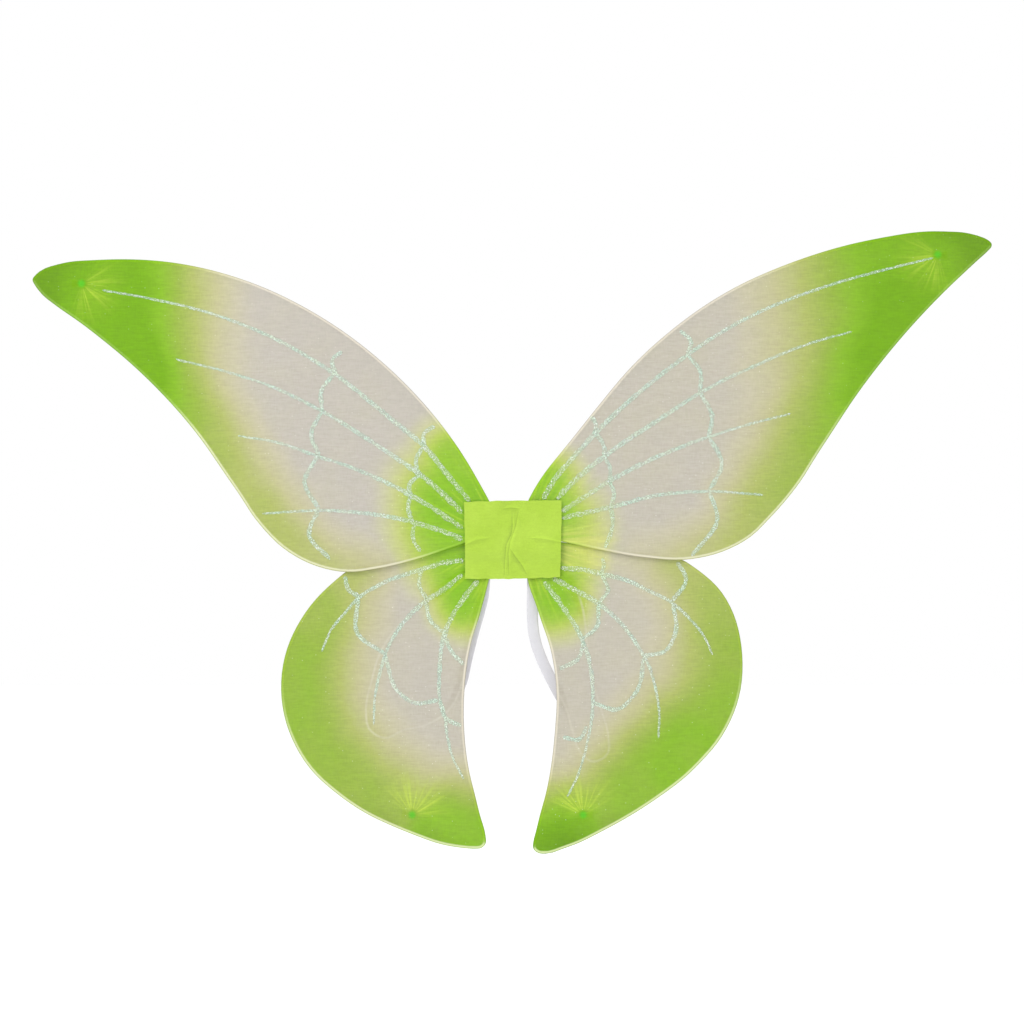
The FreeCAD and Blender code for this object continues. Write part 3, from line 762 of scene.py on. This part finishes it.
def net_sleeve(name, material):
    """Two layers of net that wrap the wire at their edge and are open towards the hub."""
    side, fine, tip = sleeve_edges(name)
    level, side_name = name.split("_")
    whole = lengths(fine)[-1]
    knot = np.array([side * KNOTS[name][0], KNOTS[name][1]])

    # Rows run from the mouth to the tip, closer together at the knot and the tip.
    lead, trail = tip - TIP_HALF, whole - tip - TIP_HALF
    long = (lead + trail) / 2
    knot_lead = lengths(fine)[np.argmin(np.linalg.norm(fine[lengths(fine) < tip] - knot, axis=1))] / lead
    u = np.linspace(0, 1, 2000)
    crowd = np.cumsum(1 + 2.5 * np.exp(-((u - knot_lead) * long / 22) ** 2) + 1.2 * np.exp(-u * long / 40))
    u = np.interp(np.linspace(crowd[0], crowd[-1], SLEEVE_ROWS), crowd, u)
    ends = 1 - RIM_STEPS[::-1] / long
    u = np.concatenate([u[u < ends[0] - 0.002], ends])
    leading, trailing = along(fine, u * lead), along(fine, whole - u * trail)
    wide = np.linalg.norm(leading - trailing, axis=1)

    across = []
    for width in wide:
        margin = RIM_STEPS * min(1, 0.3 * width / RIM_STEPS[-1]) / width
        inner = np.linspace(margin[-1], 1 - margin[-1], SLEEVE_COLUMNS + 2)[1:-1]
        across.append(np.concatenate([margin, inner, 1 - margin[::-1]]))
    k = np.array(across)
    rows, columns = k.shape
    v = np.repeat(u[:, None], columns, 1)
    corners = fine[0], fine[-1]
    angles = [math.atan2(c[1], c[0] - side * MOUTH_CENTRE) for c in corners]
    if side < 0:
        angles = [a % (2 * math.pi) for a in angles]
    turn = angles[0] + k * (angles[1] - angles[0])
    mouth = np.stack([side * MOUTH_CENTRE + MOUTH_RADIUS * np.cos(turn), MOUTH_RADIUS * np.sin(turn)], 2)
    blunt = along(fine, tip + TIP_HALF * (2 * k.ravel() - 1)).reshape(rows, columns, 2)
    left, right = leading[:, None], trailing[:, None]
    k, v = k[..., None], v[..., None]
    place = ((1 - k) * left + k * right + (1 - v) * mouth + v * blunt
             - (1 - v) * ((1 - k) * corners[0] + k * corners[1])
             - v * ((1 - k) * leading[-1] + k * trailing[-1]))
    flat = place.reshape(-1, 2)

    tree = kdtree.KDTree(len(fine))
    for i, (x, z) in enumerate(fine):
        tree.insert((x, z, 0), i)
    tree.balance()
    nearest = np.array([tree.find((x, z, 0))[1] for x, z in flat])
    heading = headings(fine)
    outward = np.stack([heading[:, 1], -heading[:, 0]], 1)
    if np.sum((fine - fine.mean(axis=0)) * outward) < 0:
        outward = -outward
    inside = np.maximum(0, np.sum((fine[nearest] - flat) * outward[nearest], 1))
    rim = np.where(inside < 4, inside, np.linalg.norm(fine[nearest] - flat, axis=1))
    on_edge = np.zeros((rows, columns), bool)
    on_edge[:, 0] = on_edge[:, -1] = on_edge[-1] = True
    on_edge = on_edge.ravel()
    rim[on_edge] = 0

    half = stand_off(rim)
    calm = smooth_step(rim / 6)
    knot_far = np.linalg.norm(flat - knot, axis=1)
    pull = 2.2 * np.exp(-(knot_far / 6.5) ** 2)
    knot_turn = np.arctan2(flat[:, 1] - knot[1], flat[:, 0] - knot[0])
    gathers = 0.25 * np.cos(knot_turn * 13) * np.exp(-(knot_far / 22) ** 2) * smooth_step(knot_far / 5)
    front = NET_LAYER[level] - half + (root_folds(flat, side, 0.7) + gathers * 0.6) * calm
    back = NET_LAYER[level] + half + (np.minimum(root_folds(flat, side, 2.9), 0) + gathers + pull) * calm
    number = np.arange(rows * columns)
    other = number.copy()
    other[~on_edge] = rows * columns + np.arange((~on_edge).sum())
    front[on_edge] = NET_LAYER[level]
    points = np.concatenate([
        np.stack([flat[:, 0], front, flat[:, 1]], 1),
        np.stack([flat[:, 0], back, flat[:, 1]], 1)[~on_edge],
    ])
    faces = grid_faces(rows, columns)
    faces += [tuple(int(other[i]) for i in face[::-1]) for face in faces]

    # Painted highlight: how strongly the pale rim line shows, more where the edge faces down.
    below = smooth_step(-outward[nearest][:, 1] * 1.3 + 0.15)
    measures = {
        "tip_dye": dyed(flat, TIP_DYE[name], side) + WASH[name],
        "root_dye": dyed(flat, [ROOT_DYE[side_name]], side),
        "rim": rim, "rim_light": below, "hub_far": np.linalg.norm(flat, axis=1),
        "strap_side": strap_side(flat, side_name),
    }
    measures = {key: np.concatenate([value, value[~on_edge]]) for key, value in measures.items()}
    measures["strap_side"][len(flat):] = FAR_AWAY
    return piece(name + "_net", points, faces, material, measures)


def veins(name, glue, material):
    """Beads of glitter glue along the veins and scallops of one sleeve."""
    side, fine, tip = sleeve_edges(name)
    level = name.split("_")[0]
    section = np.array([-1, -0.86, -0.5, 0, 0.5, 0.86, 1])
    dome = np.sqrt(1 - section ** 2)
    points, faces, across = [], [], []
    strokes = [(line, True) for line in VEINS[name]] + [(line, False) for line in SCALLOPS[name]]
    for number, (line, vein) in enumerate(strokes):
        line = np.array(line, float) * (side, 1)
        long = lengths(line)[-1]
        stops = np.linspace(0, long, max(8, round(long / 1.4)))
        middle = along(line, stops)
        heading = headings(middle)
        beside = np.stack([-heading[:, 1], heading[:, 0]], 1)
        share = stops / long
        ends = (glue.root_width, glue.tip_width) if vein else (glue.scallop_width, glue.scallop_width)
        width = (ends[0] + (ends[1] - ends[0]) * share) / MM
        wobble = np.array([noise.noise(Vector((s / 6, number * 3.7, side))) for s in stops])
        lumps = np.array([noise.noise(Vector((s / 2.3, number * 5.1, side + 4))) for s in stops])
        end = np.minimum(stops, long - stops)
        close = np.sqrt(np.clip(1 - (1 - np.clip(end / 2.2, 0, 1)) ** 2, 0.02, 1))
        width = width * (1 + 0.28 * wobble + 0.12 * lumps) * close
        height = glue.height / MM * (0.8 + 0.5 * lumps + 0.3 * wobble) * (0.5 + 0.5 * close)
        middle = middle + beside * (wobble * 0.35)[:, None]
        rim = from_line(middle, fine[::4])[0]
        ground = NET_LAYER[level] - stand_off(rim) + root_folds(middle, side, 0.7) * smooth_step(rim / 6)
        first = len(points)
        for i in range(len(stops)):
            for offset, rise in zip(section, dome):
                at = middle[i] + beside[i] * offset * width[i] / 2
                points.append((at[0], ground[i] + 0.06 - rise * height[i], at[1]))
                across.append(abs(offset))
            points.append((middle[i][0], ground[i] + 0.16, middle[i][1]))
            across.append(1)
        faces += capped_tube(len(stops), len(section) + 1, first)
    return piece(name + "_veins", points, faces, material, {"beside": across})


def tip_knot(name, material):
    """The tied end of a sleeve: a round knot, the turns that tie it, and a short frill."""
    side = SIDES[name.split("_")[1]]
    out, up = KNOTS[name]
    deep = KNOT_DEPTH[name.split("_")[0]]
    points = []
    for outwards, radius, flute in KNOT_PROFILE:
        for i in range(KNOT_TURNS):
            angle = 2 * math.pi * i / KNOT_TURNS
            flutes = math.sin(angle * 7 + outwards * 0.25) + 0.5 * math.sin(angle * 12 + 1.3)
            size = radius * (1 + flute * flutes) * 0.97
            points.append((side * (out + outwards), deep + size * math.sin(angle), up + size * math.cos(angle)))
    faces = capped_tube(len(KNOT_PROFILE), KNOT_TURNS)
    return piece(name + "_knot", points, faces, material)


def patch_point(across, up):
    """A place in the patches' outline: across from -1 at the left to 1 at the right, up from 0 to 1."""
    t = (across + 1) / 2
    corners = np.array(PATCH_CORNERS)
    top = corners[0] + (corners[1] - corners[0]) * t + (0, PATCH_BOWS[0] * 4 * t * (1 - t))
    bottom = corners[3] + (corners[2] - corners[3]) * t - (0, PATCH_BOWS[2] * 4 * t * (1 - t))
    sides = (PATCH_BOWS[1] * t - PATCH_BOWS[3] * (1 - t)) * 4 * up * (1 - up)
    wave = (0.5 * noise.noise(Vector((across * 5, 3, 0))) * up
            - 0.6 * noise.noise(Vector((across * 6, 8, 0))) * (1 - up))
    side_wave = 0.35 * noise.noise(Vector((up * 6, 5, 2))) * abs(across) * across
    return bottom + (top - bottom) * up + (sides + side_wave, wave)


def felt_half(face, side_name, material):
    """Half of a felt patch, from the middle of the hub outwards."""
    side = SIDES[side_name]
    rows, columns = FELT_GRID
    front = face == "front"
    shares = [(side * c / (columns - 1), r / (rows - 1)) for r in range(rows) for c in range(columns)]
    flat = np.array([patch_point(*share) for share in shares])
    outer, inner = FELT_FACES[face]
    towards = -1 if front else 1
    creases = [signed(flat, line) if front else np.full(len(flat), FAR_AWAY) for line in CREASES + WIRE_RIDGES]
    swell = np.array([noise.noise(Vector((x / 14, z / 14, towards * 3))) for x, z in flat])
    crumple = np.array([noise.noise(Vector((x / 5 + z / 9, z / 11, towards * 7))) for x, z in flat])
    rise = 0.3 * swell + 0.12 * crumple + 0.1
    for number, away in enumerate(creases):
        wide = np.where(away > 0, 3.4, 1.8) if number < len(CREASES) else 1.9
        rise += (0.6 if number < 3 else 0.45) * np.exp(-(away / wide) ** 2)
    # The patches are pinched together at the top and bottom between the wings. The front one sinks to the lower nets.
    out, up = flat[:, 0], flat[:, 1]
    pinch = smooth_step((np.abs(up) - 18) / 14) * (1 - smooth_step((np.abs(out) - 3) / 10))
    sink = 3.0 * smooth_step((-up - 8) / 16)
    shift = sink + (2.4 - sink * 0.5) * pinch if front else -3.6 * pinch
    upper = outer + towards * rise + shift
    lower = inner + towards * rise * 0.35 + shift
    points = np.concatenate([np.stack([out, depth, up], 1) for depth in (upper, lower)])
    faces = grid_faces(rows, columns)
    count = rows * columns
    faces += [tuple(i + count for i in face[::-1]) for face in faces]
    border = (list(range(columns)) + [r * columns + columns - 1 for r in range(1, rows)]
              + [(rows - 1) * columns + c for c in range(columns - 2, -1, -1)]
              + [r * columns for r in range(rows - 2, 0, -1)])
    faces += [(a, b, b + count, a + count) for a, b in zip(border, border[1:] + border[:1])]
    return piece(f"{face}_patch_{side_name}", points, faces, material,
                 {f"crease_{number}": np.tile(away, 2) for number, away in enumerate(creases)}, sharp=50)


def route_line(route):
    """Points of the smooth line that a strap's middle follows, in metres, for a route in millimetres."""
    curve = bpy.data.curves.new("strap_route", "CURVE")
    curve.dimensions = "3D"
    curve.resolution_u = 14
    spline = curve.splines.new("NURBS")
    spline.points.add(len(route) - 1)
    for point, place in zip(spline.points, route):
        point.co = (*(part * MM for part in place), 1)
    spline.order_u = 3
    spline.use_endpoint_u = True
    carrier = bpy.data.objects.new("strap_route", curve)
    bpy.context.scene.collection.objects.link(carrier)
    bpy.context.view_layer.update()
    mesh = bpy.data.meshes.new_from_object(carrier)
    line = np.array([v.co for v in mesh.vertices], float)
    bpy.data.objects.remove(carrier)
    bpy.data.meshes.remove(mesh)
    bpy.data.curves.remove(curve)
    return line


def strap_band(name, strap, material):
    """A flat elastic band that turns onto its edge for the lowest bend of its loop and back."""
    line = route_line(STRAP_ROUTES[name]) / MM
    stops = np.linspace(0, lengths(line)[-1], STRAP_STOPS)
    middle = along(line, stops)
    heading = headings(middle)
    start, end, back_start, back_end = STRAP_TWISTS[name]
    twist = math.pi / 2 * (smooth_step((stops - start) / (end - start))
                           + smooth_step((stops - back_start) / (back_end - back_start)))
    flat = np.cross(heading, (0, 1, 0))
    flat /= np.linalg.norm(flat, axis=1)[:, None]
    face = np.cross(flat, heading)
    wide = flat * np.cos(twist)[:, None] + face * np.sin(twist)[:, None]
    thick = np.cross(wide, heading)
    half, deep = strap.width / MM / 2, strap.thickness / MM / 2
    section = STRAP_SECTION + [(-a, -b) for a, b in STRAP_SECTION]
    points, across, distance = [], [], []
    for i, stop in enumerate(stops):
        free = smooth_step((min(stop, stops[-1] - stop) - 50) / 20)
        curl = 0.5 * free * noise.noise(Vector((stop / 26, SIDES[name] * 3, 0)))
        for a, b in section:
            points.append(middle[i] + wide[i] * a * half + thick[i] * (b * deep + curl * a * a * 0.5))
            across.append(a * half)
            distance.append(stop)
    faces = capped_tube(len(stops), len(section))
    band = piece(name + "_strap", points, faces, material, {"across": across, "along": distance})
    return band, middle * MM


class FairyNetSettings(bpy.types.PropertyGroup):
    # Painted highlight: the colour that the lit crests of the gathers are mixed towards.
    pleat_colour: bpy.props.FloatVectorProperty(
        name="Gathers", description="Colour on the crests of the gathers",
        default=colour(204, 228, 84), **COLOUR)
    gold_colour: bpy.props.FloatVectorProperty(
        name="Weak dye", description="Colour of the right nets beside the patch",
        default=colour(222, 224, 122), **COLOUR)
    # Partly painted highlight: the colour of the pale line where the net turns over the wire.
    rim_colour: bpy.props.FloatVectorProperty(
        name="Rim", description="Colour of the net where it turns over the wire",
        default=colour(222, 232, 176), **COLOUR)
    knot_colour: bpy.props.FloatVectorProperty(
        name="Knot green", description="Colour of the tied knots",
        default=colour(90, 204, 56), **COLOUR)
    opacity: bpy.props.FloatProperty(
        name="Pale net cover", description="Share of one layer of pale net that is thread",
        default=0.72, **SHARE)
    dyed_opacity: bpy.props.FloatProperty(
        name="Dyed net cover", description="Share of one layer of dyed net that is thread",
        default=0.9, **SHARE)


class FairyGlueSettings(bpy.types.PropertyGroup):
    glue_colour: bpy.props.FloatVectorProperty(
        name="Glue", description="Colour of the dried glitter glue",
        default=colour(212, 230, 206), **COLOUR)
    root_colour: bpy.props.FloatVectorProperty(
        name="Glue at the root", description="Colour of the glue where it lies on green net",
        default=colour(196, 226, 146), **COLOUR)
    second_colour: bpy.props.FloatVectorProperty(
        name="Glue shift", description="Colour that the glue shifts to in places",
        default=colour(190, 228, 208), **COLOUR)
    root_width: bpy.props.FloatProperty(
        name="Vein width at hub", description="Width of a vein where it leaves the hub",
        default=0.0058, **LENGTH)
    tip_width: bpy.props.FloatProperty(
        name="Vein width at tip", description="Width of a vein at its outer end",
        default=0.0021, **LENGTH)
    scallop_width: bpy.props.FloatProperty(
        name="Scallop width", description="Width of the short curved strokes",
        default=0.0043, **LENGTH)
    height: bpy.props.FloatProperty(
        name="Glue height", description="Height of a stroke above the net",
        default=0.0005, **LENGTH)


class FairyPatchSettings(bpy.types.PropertyGroup):
    felt_colour: bpy.props.FloatVectorProperty(
        name="Felt", description="Colour of both felt patches",
        default=colour(168, 203, 57), **COLOUR)
    worn_colour: bpy.props.FloatVectorProperty(
        name="Paler felt", description="Colour of the felt where it took less dye",
        default=colour(176, 210, 66), **COLOUR)


class FairyStrapSettings(bpy.types.PropertyGroup):
    strap_colour: bpy.props.FloatVectorProperty(
        name="Elastic", description="Colour of the arm straps",
        default=colour(210, 209, 215), **COLOUR)
    width: bpy.props.FloatProperty(
        name="Strap width", description="Width of the elastic",
        default=0.010, **LENGTH)
    thickness: bpy.props.FloatProperty(
        name="Strap thickness", description="Thickness of the elastic",
        default=0.001, **LENGTH)


class FairyStageSettings(bpy.types.PropertyGroup):
    floor_colour: bpy.props.FloatVectorProperty(
        name="Floor", description="Colour of the floor",
        default=(0.95, 0.95, 0.95), **COLOUR)
    drop: bpy.props.FloatProperty(
        name="Height above floor", description="Distance from the lowest tip to the floor",
        default=0.35, **LENGTH)
    lens: bpy.props.FloatProperty(
        name="Lens", description="Focal length of the camera", subtype="DISTANCE_CAMERA", unit="CAMERA", default=85)
    view_width: bpy.props.FloatProperty(
        name="View width", description="Width of the picture at the wings",
        default=0.9216, **LENGTH)


class OBJECT_OT_fairy_stage(bpy.types.Operator):
    """Set the camera in front of the wings, with a pale floor and soft light"""
    bl_idname = "object.fairy_stage"
    bl_label = "Camera, Floor and Light"

    def execute(self, context):
        stage = context.scene.fairy_stage
        scene = context.scene
        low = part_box("back_patch")[0]
        lens = bpy.data.cameras.new("camera")
        lens.lens, lens.sensor_width = stage.lens, SENSOR_WIDTH
        camera = bpy.data.objects.new("camera", lens)
        away = stage.view_width * lens.lens / lens.sensor_width
        camera.location = (LOOK_AT[0], low.y - MIDDLE_DEPTH - away, LOOK_AT[1])
        camera.rotation_euler = (math.pi / 2, 0, 0)
        scene.collection.objects.link(camera)
        scene.camera = camera

        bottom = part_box("lower_right_net_cover")[0].z - stage.drop
        ground = [(x * FLOOR_REACH, y * FLOOR_REACH, bottom / MM) for x, y in ((-1, -1), (1, -1), (1, 1), (-1, 1))]
        floor = piece("floor", ground, [(0, 1, 2, 3)], floor_finish(stage))

        world = bpy.data.worlds.new("studio")
        world.use_nodes = True
        world.node_tree.nodes["Background"].inputs["Color"].default_value = (1, 1, 1, 1)
        world.node_tree.nodes["Background"].inputs["Strength"].default_value = 1.0
        scene.world = world
        scene.view_settings.view_transform = "Standard"
        for name, place, size, power in LAMPS:
            lamp = bpy.data.lights.new(name, "AREA")
            lamp.size, lamp.energy = size, power
            light = bpy.data.objects.new(name, lamp)
            light.location = place
            light.rotation_euler = (-Vector(place)).to_track_quat("-Z", "Y").to_euler()
            scene.collection.objects.link(light)
        return {"FINISHED"}


class OBJECT_OT_fairy_straps(bpy.types.Operator):
    """Make the two elastic arm straps"""
    bl_idname = "object.fairy_straps"
    bl_label = "Arm Straps"

    def execute(self, context):
        strap = context.scene.fairy_strap
        material = elastic_finish(strap)
        for side in SIDES:
            band, path = strap_band(side, strap, material)
            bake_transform(band)
            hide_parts(side + "_arm_strap", side + "_strap_ends")
        return {"FINISHED"}


class OBJECT_OT_fairy_sleeves(bpy.types.Operator):
    """Make the four dyed net sleeves"""
    bl_idname = "object.fairy_sleeves"
    bl_label = "Net Sleeves"

    def execute(self, context):
        net = context.scene.fairy_net
        for name in SLEEVES:
            sleeve = net_sleeve(name, net_finish(name, net))
            on_wing(sleeve, name, "_net_cover")
        return {"FINISHED"}


class OBJECT_OT_fairy_veins(bpy.types.Operator):
    """Draw the glitter glue veins and scallops"""
    bl_idname = "object.fairy_veins"
    bl_label = "Glitter Veins"

    def execute(self, context):
        glue = context.scene.fairy_glue
        material = glitter_finish(glue)
        for name in SLEEVES:
            on_wing(veins(name, glue, material), name, "_glitter_veins")
        return {"FINISHED"}


class OBJECT_OT_fairy_knots(bpy.types.Operator):
    """Tie the knots at the sleeves' tips"""
    bl_idname = "object.fairy_knots"
    bl_label = "Tip Knots"

    def execute(self, context):
        material = knot_finish(context.scene.fairy_net)
        for name in SLEEVES:
            on_wing(tip_knot(name, material), name, "_tip_knot")
        return {"FINISHED"}


class OBJECT_OT_fairy_patches(bpy.types.Operator):
    """Cut the felt patches, each in two halves"""
    bl_idname = "object.fairy_patches"
    bl_label = "Felt Patches"

    def execute(self, context):
        material = felt_finish(context.scene.fairy_patch)
        for face in FELT_FACES:
            for side_name, side in SIDES.items():
                half = felt_half(face, side_name, material)
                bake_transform(half)
                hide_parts(face + "_patch")
        return {"FINISHED"}


class OBJECT_OT_fairy_hardware(bpy.types.Operator):
    """Finish the frame wires, the tape round their ends and the glue pads"""
    bl_idname = "object.fairy_hardware"
    bl_label = "Wires, Tape and Glue"

    def execute(self, context):
        finishes = {
            wire_finish(): [name + "_frame_wire" for name in SLEEVES],
            tape_finish(): [side + "_root_tape" for side in SIDES],
            glue_finish(): [side + "_glue_pad" for side in SIDES],
        }
        for material, nodes in finishes.items():
            for node in nodes:
                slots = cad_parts[node].data.materials
                slots.clear()
                slots.append(material)
        return {"FINISHED"}


class VIEW3D_PT_fairy_wings(bpy.types.Panel):
    """Sizes, colours and pieces of the fairy wings"""
    bl_idname = "VIEW3D_PT_fairy_wings"
    bl_label = "Fairy Wings"
    bl_space_type = "VIEW_3D"
    bl_region_type = "UI"
    bl_category = "Fairy Wings"

    def draw(self, context):
        for operator, group, settings in PIECES:
            box = self.layout.box()
            for setting in settings:
                box.prop(getattr(context.scene, group), setting)
            box.operator(operator)


PIECES = [
    ("object.fairy_stage", "fairy_stage", ["floor_colour", "drop", "lens", "view_width"]),
    ("object.fairy_straps", "fairy_strap", ["strap_colour", "width", "thickness"]),
    ("object.fairy_sleeves", "fairy_net", ["pleat_colour", "gold_colour", "rim_colour", "opacity", "dyed_opacity"]),
    ("object.fairy_veins", "fairy_glue", ["glue_colour", "second_colour", "root_colour", "root_width", "tip_width",
                                          "scallop_width", "height"]),
    ("object.fairy_knots", "fairy_net", ["knot_colour"]),
    ("object.fairy_patches", "fairy_patch", ["felt_colour", "worn_colour"]),
    ("object.fairy_hardware", "fairy_net", []),
]
GROUPS = {
    "fairy_net": FairyNetSettings, "fairy_glue": FairyGlueSettings, "fairy_patch": FairyPatchSettings,
    "fairy_strap": FairyStrapSettings, "fairy_stage": FairyStageSettings,
}
CLASSES = [
    *GROUPS.values(), OBJECT_OT_fairy_stage, OBJECT_OT_fairy_straps, OBJECT_OT_fairy_sleeves,
    OBJECT_OT_fairy_veins, OBJECT_OT_fairy_knots, OBJECT_OT_fairy_patches, OBJECT_OT_fairy_hardware,
    VIEW3D_PT_fairy_wings,
]


def register():
    for cls in CLASSES:
        bpy.utils.register_class(cls)
    for name, group in GROUPS.items():
        setattr(bpy.types.Scene, name, bpy.props.PointerProperty(type=group))


def unregister():
    for name in GROUPS:
        delattr(bpy.types.Scene, name)
    for cls in reversed(CLASSES):
        bpy.utils.unregister_class(cls)


def main():
    register()
    bpy.ops.object.fairy_stage()
    bpy.ops.object.fairy_straps()
    bpy.ops.object.fairy_sleeves()
    bpy.ops.object.fairy_veins()
    bpy.ops.object.fairy_knots()
    bpy.ops.object.fairy_patches()
    bpy.ops.object.fairy_hardware()


if __name__ == "__main__":
    main()
